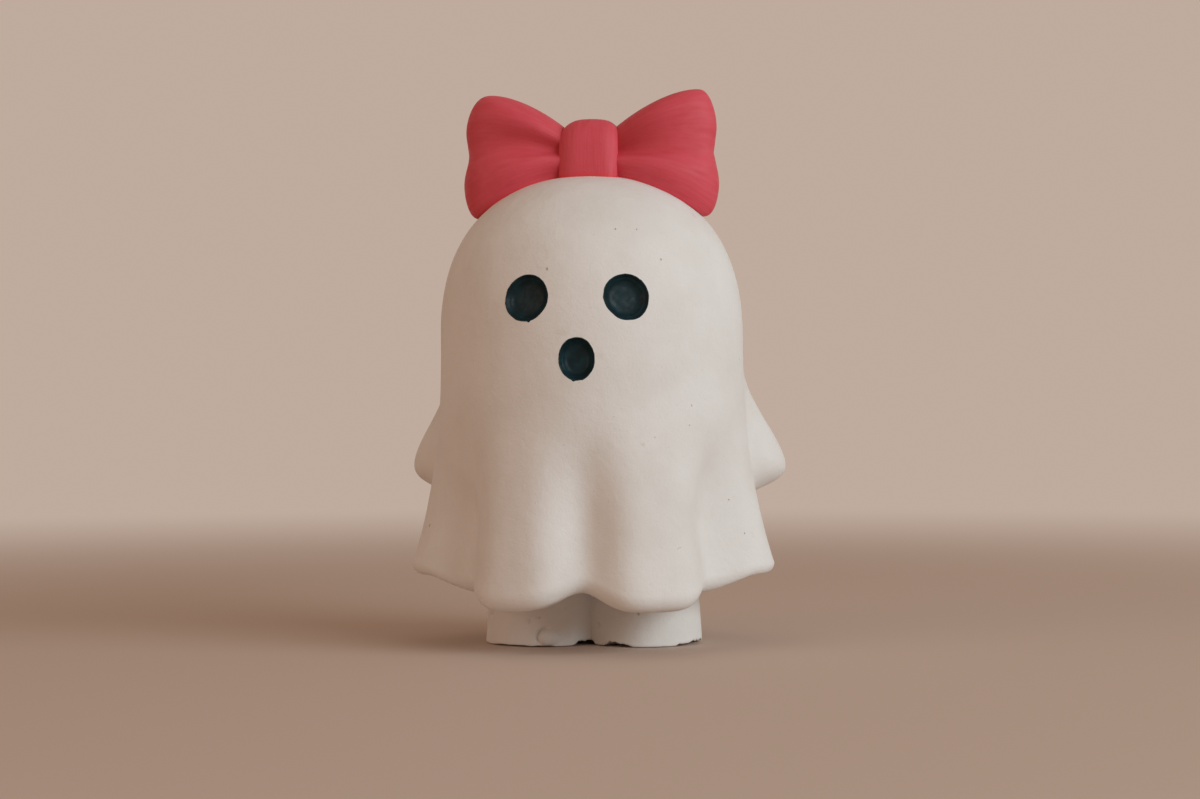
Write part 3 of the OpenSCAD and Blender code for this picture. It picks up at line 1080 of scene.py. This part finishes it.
@dataclass(frozen=True)
class Foot:
    """A short foot under the sheet, with a chipped edge at its sole."""

    side: Side  # Its side of the figure
    top: float  # Height of its top, under the sheet
    chips: tuple[Mark, ...]  # Chips of its edge, by their place across the figure and their height
    pits: tuple[Vector, ...] = ()  # Place across, height and radius of each pit in its front
    blister: Vector | None = None  # Place across, height and radius of the bump in its front, if it has one
    reach: float = 15.7  # Distance from the axis to its outer side
    length: float = 15.8  # Its length from front to back
    forward: float = -0.7  # How far its middle lies in front of the axis
    overlap: float = 1.2  # How far its round would run past the middle, where the feet are cut to meet
    crease: float = 0.36  # Softness of the crease between the feet
    taper: float = 0.96  # Size of its top against its base
    squareness: float = 1.9  # Squareness of its section
    wear: float = 0.05  # Least height of its edge above the floor
    pit_depth: float = 0.4  # Depth of a pit
    edge_round: tuple[float, float] = (0.12, 0.25)  # How far its edge is rounded, inwards and upwards
    around: int = 280  # Facets round it
    top_rings: int = 3  # Rings of facets over its top
    side_rings: int = 64  # Rings of facets down its side
    side_spacing: float = 0.8  # How they are spaced, below 1 where they are closer at the sole
    sharp: float = 32.0  # Angle above which an edge is crisp

    # Distance in from the edge and share of the edge's height, for each ring of the sole
    SOLE = ((0.5, 1.1), (1.8, 1.2), (3.2, 1.2), (4.2, 0.0), (4.6, 0.0), (6.0, 0.0), (0.0, 0.0))
    CHIP_END = 1.6  # Where a chip ends, in its widths
    BACK_CHIPS, BACK_RARITY, BACK_FROM = 0.25, 2.4, 2.0  # Height, rarity and start of those behind
    LEAST_BREAK = 0.6  # Least share of a chip's height
    CALM_MIDDLE, CALM_TOP = 1.5, 2.0  # Distances over which the relief grows from the middle and the top
    WORN = Ripple(0.09, 1.2, 1.0)  # The wear of the edge
    BROKEN = Ripple(4.0, 3.0, 6.0)  # Where the edge is chipped behind
    CRUMBLE = Ripple(0.8, 0.5, 6.0)  # How a chip's height varies
    CAST = (Ripple(0.10, 6.0, 2.0), Ripple(0.04, 1.4, 5.0))  # The waviness of its skin

    def outline(self, angle: float) -> Vector:
        """Gives a point of the sole's outline.

        Args:
            angle: Direction from the foot's middle, 0 away from the other foot.

        Returns:
            The point, on the floor.
        """
        half_w = (self.reach + self.overlap) / 2
        radius = super_radius(angle, half_w, self.length / 2, self.squareness)
        x = max(self.reach - half_w + radius * cosine(angle), 0.0)
        softened = math.sqrt(x * x + 2 * x * self.crease)
        x = mix(softened, x, smooth(x / (8 * self.crease)))
        return Vector((self.side.value * x, radius * sine(angle) - self.forward, 0.0))

    def edge_lift(self, point: Vector) -> float:
        """Gives how high the chipped edge lies above the floor.

        Args:
            point: Point of the sole's outline.

        Returns:
            The height of the edge there.
        """
        front = sum(chip.size * smooth(self.CHIP_END - abs(point.x - chip.at) / chip.width)
                    for chip in self.chips)
        back = self.BACK_CHIPS * smooth(self.BROKEN.at(point) - self.BACK_RARITY)
        broken = mix(back, front, smooth((self.BACK_FROM - point.y) / self.BACK_FROM))
        return self.wear + self.WORN.at(point) + broken * (self.LEAST_BREAK + self.CRUMBLE.at(point))

    def relief(self, point: Vector) -> float:
        """Gives how far the foot's side stands out at a point.

        Args:
            point: Point of its true form.

        Returns:
            The distance outwards.
        """
        stand = -sum(ripple.at(point) for ripple in self.CAST) * smooth(abs(point.x) / self.CALM_MIDDLE)
        if point.y > 0:
            return stand
        for pit in self.pits:
            stand -= self.pit_depth * bell(math.hypot(point.x - pit.x, point.z - pit.y) / pit.z) ** 2
        if self.blister:
            stretch, rise, groove, groove_at, groove_width = 0.6, 0.62, 0.50, 1.05, 0.18
            across, up = point.x - self.blister.x, point.z - self.blister.y
            gap = math.hypot(across * (stretch if across > 0 else 1.0), up) / self.blister.z
            upper_left = smooth((0.5 * up - across) / self.blister.z)
            stand += rise * max(1 - gap * gap, 0.0) ** 0.8
            stand -= groove * bell((gap - groove_at) / groove_width) * upper_left
        return stand

    def place(self, around: float, along: float) -> Vector:
        """Gives a point of the skin.

        Args:
            around: Share round the foot.
            along: Share of the rings from the middle of its top to the middle of its sole.

        Returns:
            The point.
        """
        ring = round(along * self.rings())
        angle = FULL_TURN * around
        base = self.outline(angle)
        middle = Vector((self.side.value * self.reach / 2, -self.forward, 0.0))
        out = base - middle
        if ring < self.top_rings:
            shrink = self.taper * ring / self.top_rings
            flat = middle * self.taper + out * shrink
            return Vector((flat.x, flat.y, self.top))
        lift = self.edge_lift(base)
        ring -= self.top_rings
        if ring <= self.side_rings:
            z = mix(self.top, lift, (ring / self.side_rings) ** self.side_spacing)
            flat = base * mix(1.0, self.taper, z / self.top)
            inward, upward = self.edge_round
            rounding = inward * max(0.0, 1 - (z - lift) / upward) ** 2
            point = Vector((flat.x, flat.y, z))
            fade = smooth((self.top - z) / self.CALM_TOP)
            return point + out.normalized() * (self.relief(point) * fade - rounding)
        ring -= self.side_rings
        if ring == len(self.SOLE):
            return middle
        inset, height = self.SOLE[ring - 1]
        flat = middle + out * max(1 - inset / out.length, 0.05)
        return Vector((flat.x, flat.y, lift * height))

    def rings(self) -> int:
        """Gives the number of rings from the middle of its top to the middle of its sole."""
        return self.top_rings + self.side_rings + len(self.SOLE)

    def build(self) -> Piece:
        """Casts the foot."""
        name = f"cast_{self.side.word()}_foot"
        return Moulding(self.around, self.rings(), self.place).press(name, self.sharp)


@dataclass(frozen=True)
class Knot:
    """The band round the middle of the bow."""

    sheet: Sheet  # The head that it sits on
    width: float = 8.3
    depth: float = 11.0  # Its depth from front to back
    rise: float = 8.1  # Height of its top above the head
    edge: float = 1.1  # Drop of its face towards the right loop
    edge_power: float = 5.5  # How late that drop starts
    left_edge: float = 1.35  # Drop of its face towards the left loop
    left_power: float = 3.4  # How late that drop starts
    crown: float = 0.45  # How far its top is crowned
    squareness: float = 3.4  # Squareness of its section
    seat: float = 0.12  # How far its underside lies below the head's true form
    around: int = 240  # Facets round it
    along: int = 72  # Facets across its width
    arch_share: float = 0.84  # Share of the facets round it that show
    sharp: float = 50.0  # Angle above which an edge is crisp

    # Length of the band as each streak measures it, and the streak
    STREAKS = ((2, Ripple(0.012, 0.5, 1.0)), (14, Ripple(0.06, 3.0, 2.0)))

    def top(self) -> float:
        """Gives the height of its top."""
        return self.sheet.top() + self.rise

    def seat_z(self, x: float, y: float) -> float:
        """Gives the height of its seat on the head."""
        return self.sheet.head_z(math.hypot(x, y)) - self.seat

    def across(self, along: float) -> float:
        """Gives how far across the figure a ring lies, from its share along the knot."""
        return -self.width / 2 * cosine(HALF_TURN * station(along, self.along))

    def place(self, around: float, along: float) -> Vector:
        """Gives a point of the skin.

        Args:
            around: Share round the band, from its front foot over the top.
            along: Share across it, from left to right.

        Returns:
            The point.
        """
        x = self.across(along)
        off = abs(2 * x / self.width)
        inset = self.left_edge * off ** self.left_power if x < 0 else self.edge * off ** self.edge_power
        streak = sum(ripple.at(Vector((x, around * turns, 0.0))) for turns, ripple in self.STREAKS)
        half = self.depth / 2 - inset - streak
        foot = self.seat_z(x, half)
        top = self.top() - inset - streak - self.crown * (2 * x / self.width) ** 2
        if along in (0.0, 1.0):
            return Vector((x, 0.0, mix(foot, top, 0.5)))
        if around > self.arch_share:
            y = mix(half, -half, (around - self.arch_share) / (1 - self.arch_share))
            return Vector((x, y, self.seat_z(x, y)))
        angle = HALF_TURN * around / self.arch_share
        radius = super_radius(angle, 1.0, 1.0, self.squareness)
        return Vector((x, -half * radius * cosine(angle), mix(foot, top, radius * sine(angle))))

    def stroke(self, around: float, along: float) -> Vector:
        """Gives the brush coordinates, along the band, across it and up from its foot."""
        up = (self.rise + self.depth / 2) * (1 - abs(2 * min(around / self.arch_share, 1.0) - 1))
        return Vector((up, self.across(along), up))

    def build(self) -> Piece:
        """Casts the knot."""
        return Moulding(self.around, self.along, self.place, self.stroke).press("cast_bow_knot", self.sharp)


@dataclass(frozen=True)
class Loop:
    """One of the two loops of the bow, a pillow that sits on the head beside the knot."""

    side: Side  # Its side of the figure
    knot: Knot  # The knot that holds it
    reach: float = 18.9  # Distance from the axis to its outer end
    draw_in: float = 0.7  # How far the upper half of its end draws in
    lean: float = 0.5  # How far its top leans towards +X
    rise: float = 12.2  # Height of the right loop's top above the head
    drop: float = 0.4  # How far the left loop's top lies below that
    depth: float = 11.6  # Its depth where it is fullest
    neck_depth: float = 8.6  # Its depth at the knot
    neck_drop: float = 1.0  # How far its top lies below the knot's there
    notch: float = 0.85  # Depth of the notch in the middle of its end
    crease: float = 0.34  # Share of its depth that its crease takes away at the knot
    crease_v: float = 0.48  # Height of that crease, as a share, at the knot
    crease_above: float = 0.16  # Width of the crease's upper flank, as a share of the height
    crease_below: float = 0.07  # Width of its lower flank
    crease_rise: float = 0.06  # How far the crease rises to the end, as a share of the height
    crease_fade: float = 0.3  # How early the crease fades out, 0 for never
    tuck: float = 0.3  # How far it runs in under the knot's shoulder
    tip_share: float = 0.815  # Share of its length at which its end meets the head
    crest_share: float = 0.74  # Share of its length at which its top edge is highest
    # How far along and up the top edge's curve is pulled at the knot, as shares
    neck_handle: tuple[float, float] = (0.25, 0.45)
    crest_handle: float = 0.66  # How far along it is pulled before its highest point
    end_squareness: float = 2.4  # Squareness of its end
    notch_share: float = 0.3  # Height of the notch, as a share
    full_at: float = 0.55  # Share of its length at which it is as deep as it gets
    end_round: float = 3.6  # How late its depth is rounded off at the end
    # Share of its depth at the seat, at the knot and at the end
    seat_full: tuple[float, float] = (0.70, 0.84)
    seat_round: float = 0.32  # Height at which it has its full depth, as a share
    around: int = 200  # Facets round it
    along: int = 96  # Facets from the knot to its end
    arch_share: float = 0.86  # Share of the facets round it that show
    sharp: float = 60.0  # Angle above which an edge is crisp

    CLOSED = 0.000004  # Square of the share of its depth that is left where its end closes
    EDGE_POWER = 4  # How late its front rounds over to its top edge
    CALM_END = 4  # How quickly the relief grows from its end
    STREAK_SCALE = (6.0, 12.0, 5.0)  # Size of the brushed face for the streaks, and the sides' distance
    HAIR_SCALE = (0.35, 2.6)  # Size of the streaks for the hairs, along and up
    STREAKS = Ripple(0.08, 3.5, 6.0)
    HAIRS = Ripple(0.012, 1.0, 3.0)

    def half(self, u: float) -> float:
        """Gives half of its depth at a share of the way from the knot to its end."""
        full = mix(self.neck_depth, self.depth, sine(HALF_TURN / 2 * min(u / self.full_at, 1.0))) / 2
        return full * math.sqrt(max(1 - u ** self.end_round, self.CLOSED))

    def fullness(self, u: float, v: float) -> float:
        """Gives the share of its depth that its front takes at a point.

        Args:
            u: Share from the knot to its end.
            v: Share from the head to its top edge.

        Returns:
            1 where it is full, 0 at its top edge.
        """
        roll = math.sqrt(max(1 - v ** self.EDGE_POWER, 0.0))
        off = v - self.crease_v - self.crease_rise * u
        flank = self.crease_above if off > 0 else self.crease_below
        pinch = 1 - self.crease * bell(off / flank) * (1 - u) ** self.crease_fade
        return roll * mix(mix(*self.seat_full, u), 1.0, smooth(v / self.seat_round)) * pinch

    def front(self, u: float, v: float) -> Vector:
        """Gives where a point lies in the view from the front.

        Args:
            u: Share from the knot to its end.
            v: Share from the head to its top edge.

        Returns:
            Its place across and its height.
        """
        start = self.knot.width / 2 - self.tuck
        run = self.reach - start
        tip_x = start + self.tip_share * run
        crest_x = start + self.crest_share * run + self.side.value * self.lean
        top = self.knot.sheet.top() + self.rise - (self.drop if self.side is Side.LEFT else 0.0)
        neck_top = self.knot.top() - self.neck_drop
        along, up = self.neck_handle
        edge = [Vector((start, neck_top)), Vector((mix(start, crest_x, along), mix(neck_top, top, up))),
                Vector((mix(start, crest_x, self.crest_handle), top)), Vector((crest_x, top))]

        def foot(share: float) -> Vector:
            """Gives the seat line's point at a share."""
            x = mix(start, tip_x, share)
            return Vector((x, self.knot.seat_z(x, self.half(share) * self.fullness(share, 0.0))))

        end_turn, power = HALF_TURN * v, 2 / self.end_squareness
        level = -math.copysign(abs(cosine(end_turn)) ** power, cosine(end_turn))
        high = (1 + level) / 2
        end_x = mix(mix(tip_x, crest_x, high), self.reach - self.draw_in * high, sine(end_turn) ** power)
        end = Vector((end_x - self.notch * bell(level / self.notch_share), mix(foot(1.0).y, top, high)))
        neck = Vector((start, mix(foot(0.0).y, neck_top, v)))
        corners = foot(0.0).lerp(edge[0], v).lerp(foot(1.0).lerp(edge[3], v), u)
        return foot(u).lerp(bezier(edge, u), v) + neck.lerp(end, u) - corners

    def share_along(self, along: float) -> float:
        """Gives the share from the knot to the end that a ring lies at, closest at the end."""
        return sine(HALF_TURN / 2 * station(along, self.along))

    def share_up(self, around: float) -> float:
        """Gives the share from the head to the top edge at a share round the loop."""
        share = min(around / self.arch_share, 1.0)
        return (1 - math.cos(math.pi * (1 - abs(2 * share - 1)))) / 2

    def relief(self, u: float, v: float) -> float:
        """Gives how far the brushed face lies inside its true form.

        Args:
            u: Share from the knot to its end.
            v: Share from the head to its top edge.

        Returns:
            The distance inwards.
        """
        along, up, apart = self.STREAK_SCALE
        streaks = Vector((u * along, v * up, self.side.value * apart))
        longer, narrower = self.HAIR_SCALE
        fine = Vector((streaks.x * longer, streaks.y * narrower, streaks.z))
        return self.HAIRS.at(fine) + self.STREAKS.at(streaks)

    def place(self, around: float, along: float) -> Vector:
        """Gives a point of the skin.

        Args:
            around: Share round the loop, from its front foot over its top edge.
            along: Share from the knot to its end.

        Returns:
            The point.
        """
        u, v = self.share_along(along), self.share_up(around)
        if along in (0.0, 1.0):
            middle = self.front(u, 0.5)
            return Vector((self.side.value * middle.x, 0.0, middle.y))
        if around > self.arch_share:
            foot = self.front(u, 0.0)
            half = self.half(u) * self.fullness(u, 0.0)
            y = mix(half, -half, (around - self.arch_share) / (1 - self.arch_share))
            return Vector((self.side.value * foot.x, y, self.knot.seat_z(foot.x, y)))
        flat = self.front(u, v)
        full = self.fullness(u, v)
        y = max(self.half(u) * full - self.relief(u, v) * full * smooth((1 - u) * self.CALM_END), 0.0)
        back = around > self.arch_share / 2
        return Vector((self.side.value * flat.x, y if back else -y, flat.y))

    def stroke(self, around: float, along: float) -> Vector:
        """Gives the brush coordinates, along the loop, across it and up from its seat."""
        up = self.share_up(around) * self.rise * LOOP_STRETCH
        return Vector((self.share_along(along) * self.reach, up + self.side.value * LOOP_OFFSET, up))

    def build(self) -> Piece:
        """Casts the loop."""
        name = f"cast_bow_{self.side.word()}_loop"
        return Moulding(self.around, self.along, self.place, self.stroke).press(name, self.sharp)


@dataclass(frozen=True)
class Lamp:
    """A soft lamp that looks at the figure."""

    name: str
    azimuth: float  # Its direction from the face, positive towards +X
    elevation: float  # Its height above the horizon, in degrees
    distance: float  # Its distance in metres
    width: float  # Its width in metres
    height: float  # Its height in metres
    power: float  # Its power in watts
    colour: Colour

    def hang(self, aim: Vector) -> None:
        """Puts the lamp in the scene.

        Args:
            aim: The point that it looks at, in metres.
        """
        light = bpy.data.lights.new(self.name, "AREA")
        light.shape = "ELLIPSE"
        light.size = self.width
        light.size_y = self.height
        light.energy = self.power
        light.color = self.colour
        lamp = stand(self.name, light)
        away = on_ring(self.azimuth, cosine(self.elevation), sine(self.elevation))
        lamp.location = aim + away * self.distance
        lamp.rotation_euler = away.to_track_quat("Z", "Y").to_euler()


@dataclass(frozen=True)
class Studio:
    """The floor, the lamps, the pale surroundings and the camera."""

    floor: Colour = (0.62, 0.485, 0.405)  # Colour of the floor
    beyond: Colour = (0.52, 0.41, 0.34)  # Colour of the background behind it
    ambient: Colour = (1.0, 0.75, 0.59)  # Colour of the soft light from all round
    ambient_power: float = 0.37  # Strength of that light
    floor_size: float = 6.0  # Width of the floor in metres
    floor_gap: float = 0.02  # How far it lies below the soles, in millimetres
    aim: float = 0.04  # Height that the lamps look at, in metres
    # Distance from the figure at which the floor starts to fade into the background, in metres
    near: float = 0.12
    far: float = 0.45  # Distance at which it has faded, in metres
    # The lamps
    lamps: tuple[Lamp, ...] = (
        Lamp("key_lamp", 58.0, 21.0, 0.8, 0.8, 0.4, 3.8, (0.80, 0.94, 1.0)),
        Lamp("warm_fill", -50.0, 10.0, 0.8, 0.6, 0.6, 0.62, (1.0, 0.61, 0.39)))
    azimuth: float = 6.0  # The camera's direction from the face
    distance: float = 0.350  # Its distance from the axis in metres
    height: float = 0.035  # Its height in metres
    shift: float = 0.00112  # How far it is moved to its right, in metres
    roll: float = -0.3  # Degrees by which it is turned to the left
    lens: float = 72.87  # Its focal length, in millimetres
    sensor: float = 36.0  # Width of its sensor, in millimetres
    clip: tuple[float, float] = (0.01, 20.0)  # The nearest and farthest that it sees, in metres

    def camera(self) -> None:
        """Sets the camera where the photograph was taken from."""
        data = bpy.data.cameras.new("camera")
        data.lens = self.lens
        data.sensor_width = self.sensor
        data.clip_start, data.clip_end = self.clip
        camera = stand("camera", data)
        right = Vector((cosine(self.azimuth), sine(self.azimuth), 0.0))
        back = on_ring(self.azimuth, 1.0, 0.0)
        axes = Matrix((right, Vector((0.0, 0.0, 1.0)), back)).transposed()
        turned = axes @ Matrix.Rotation(math.radians(self.roll), 3, "Z")
        camera.matrix_world = Matrix.Translation(
            back * self.distance + right * self.shift + Vector((0.0, 0.0, self.height))) @ turned.to_4x4()
        bpy.context.scene.camera = camera

    @staticmethod
    def seen(wiring: Wiring) -> Socket:
        """Tells the rays that see the background from those that light the figure.

        Args:
            wiring: The tree that asks.

        Returns:
            1 for a ray from the camera, or one that is mirrored or let through on its way.
        """
        path = wiring.add("ShaderNodeLightPath").outputs
        glossy = wiring.math("MAXIMUM", path["Is Camera Ray"], path["Is Glossy Ray"])
        return wiring.math("MAXIMUM", glossy, path["Is Transmission Ray"])

    def floor_material(self) -> Material:
        """Makes a matte floor that fades into the background.

        Returns:
            The material.
        """
        material, wiring, principled = shader("pale_floor", {"Roughness": 0.9, "Specular IOR Level": 0.15})
        principled.inputs["Base Color"].default_value = (*self.floor, 1.0)
        place = wiring.add("ShaderNodeTexCoord").outputs["Object"]
        away = wiring.measure("LENGTH", place)
        fade = wiring.ramp(away, self.near, self.far, interpolation_type="SMOOTHSTEP")
        glow = wiring.glow("ShaderNodeEmission", self.beyond)
        both = wiring.either(wiring.times(fade, self.seen(wiring)), principled.outputs[0], glow)
        output = next(n for n in material.node_tree.nodes if n.type == "OUTPUT_MATERIAL")
        wiring.feed(output.inputs["Surface"], both)
        return material

    def lay_floor(self) -> None:
        """Lays the floor just under the soles."""
        shape = bmesh.new()
        bmesh.ops.create_grid(shape, x_segments=2, y_segments=2, size=self.floor_size / 2)
        floor = settle(shape, "floor", HALF_TURN)
        floor.data.transform(Matrix.Translation((0.0, 0.0, -self.floor_gap * MM)))
        floor.data.materials.append(self.floor_material())

    def surround(self) -> None:
        """Sets the soft light from all round and the background's colour."""
        world = bpy.data.worlds.new("pale_room")
        bpy.context.scene.world = world
        world.use_nodes = True
        wiring = Wiring(world.node_tree)
        world.node_tree.nodes.clear()
        light = wiring.glow("ShaderNodeBackground", self.ambient, self.ambient_power)
        view = wiring.glow("ShaderNodeBackground", self.beyond)
        wiring.add("ShaderNodeOutputWorld", {"Surface": wiring.either(self.seen(wiring), light, view)})

    def set_up(self) -> None:
        """Sets up the whole studio."""
        bpy.context.scene.view_settings.view_transform = "Standard"
        self.camera()
        self.lay_floor()
        self.surround()
        for lamp in self.lamps:
            lamp.hang(Vector((0.0, 0.0, self.aim)))
        LOG.info("studio: %d lamps", len(self.lamps))


class Figure:
    """The whole cast figure."""

    def __init__(self) -> None:
        """Sets out the figure's sub-assemblies."""
        self.sheet = Sheet(pores=tuple(Pore(*pore) for pore in (
            (-10.9, 52.8, 0.24), (34.0, 54.1, 0.19), (16.4, 58.3, 0.17), (25.9, 58.3, 0.14),
            (-75.6, 17.1, 0.26), (44.9, 34.1, 0.15), (43.8, 31.4, 0.12), (28.9, 29.8, 0.10),
            (80.0, 40.6, 0.15), (72.2, 20.8, 0.16), (76.5, 16.0, 0.15), (36.2, 14.6, 0.07),
            (36.8, 14.7, 0.09), (37.4, 14.8, 0.07), (142.0, 50.0, 0.22), (171.0, 33.0, 0.17),
            (-128.0, 41.0, 0.19), (-163.0, 18.0, 0.24), (118.0, 14.0, 0.17), (-150.0, 57.0, 0.15))))
        self.hollows = (
            Hollow("left_eye", self.sheet, -18.5, 48.9, 6.1, 6.1,
                   (Mark(132, -0.050, 30), Mark(210, 0.03, 14), Mark(318, -0.045, 22), Mark(72, 0.02, 14)),
                   (Mark(279, 0.22, 3.5), Mark(246, 0.05, 6), Mark(192, 0.07, 4))),
            Hollow("right_eye", self.sheet, 18.9, 48.9, 6.0, 6.0,
                   (Mark(224, -0.065, 24), Mark(48, -0.02, 12), Mark(305, 0.03, 20), Mark(150, 0.015, 15)),
                   (Mark(47, 0.06, 3), Mark(182, 0.05, 7))),
            Hollow("mouth", self.sheet, 0.6, 40.5, 4.6, 5.5,
                   (Mark(66, 0.02, 14), Mark(40, -0.02, 14), Mark(227, -0.02, 18)),
                   (Mark(262, 0.16, 3.5), Mark(286, 0.06, 4))))
        top = self.sheet.ceiling()
        self.feet = (
            Foot(Side.LEFT, top, (Mark(-0.5, 0.60, 1.2), Mark(-6.4, 0.12, 1.2), Mark(-11.0, 0.12, 2.4)),
                 (Vector((-8.28, 3.61, 0.35)), Vector((-6.99, 4.19, 0.22)), Vector((-14.4, 4.1, 0.40))),
                 Vector((-5.9, 1.35, 1.2))),
            Foot(Side.RIGHT, top,
                 (Mark(0.0, 0.55, 0.35), Mark(3.0, 0.30, 0.8), Mark(4.1, 0.38, 1.5), Mark(13.6, 0.28, 0.9),
                  Mark(15.6, 0.55, 1.0)),
                 (Vector((1.05, 2.92, 0.35)), Vector((7.0, 4.82, 0.28)))))
        self.knot = Knot(self.sheet)
        self.loops = (Loop(Side.LEFT, self.knot),
                      Loop(Side.RIGHT, self.knot, crease=0.44, crease_v=0.45, crease_above=0.32))

    def build(self, effects: Effects) -> None:
        """Builds and dresses every piece.

        Args:
            effects: The shared node groups.
        """
        earth, olive, bleed = Plaster.earth, (0.56, 0.54, 0.28), (0.72, 0.36, 0.34)
        # Colours of the painted shade at the left loop's outer end, and of plaster where the paint is chipped
        end_shade, chalk = (0.46, 0.032, 0.036), (0.86, 0.72, 0.66)
        plaster = Plaster(stains=(Stain(self.sheet.skin(9.2, 40.9), 0.7, earth, 0.18),
                                  Stain(self.sheet.skin(-4.3, 44.2), 1.0, earth, 0.18),
                                  Stain(self.sheet.skin(24.5, 28.9), 0.45, olive, 0.45),
                                  Stain(Vector((15.4, -5.9, 61.3)), 0.9, bleed, 0.5))).material(effects)
        paint = BowPaint(chips=(Stain(Vector((-17.5, -3.0, 66.0)), 3.0, end_shade, 0.35),
                                Stain(Vector((11.9, -4.9, 71.5)), 0.3, chalk, 1.0),
                                Stain(Vector((16.6, -3.6, 64.6)), 0.22, chalk, 1.0))).material(effects)
        enamel = Enamel().material(effects)
        hand_over(self.sheet.build(self.hollows), "sheet_body", plaster)
        for hollow in self.hollows:
            hand_over(hollow.build(), hollow.node, enamel)
        for foot in self.feet:
            hand_over(foot.build(), f"{foot.side.word()}_foot", plaster)
        hand_over(self.knot.build(), "bow_knot", paint)
        for loop in self.loops:
            hand_over(loop.build(), f"bow_{loop.side.word()}_loop", paint)


def main() -> None:
    """Builds the studio and the figure."""
    logging.basicConfig(level=logging.INFO, format="%(name)s: %(message)s")
    Studio().set_up()
    Figure().build(Effects())


if __name__ == "__main__":
    main()
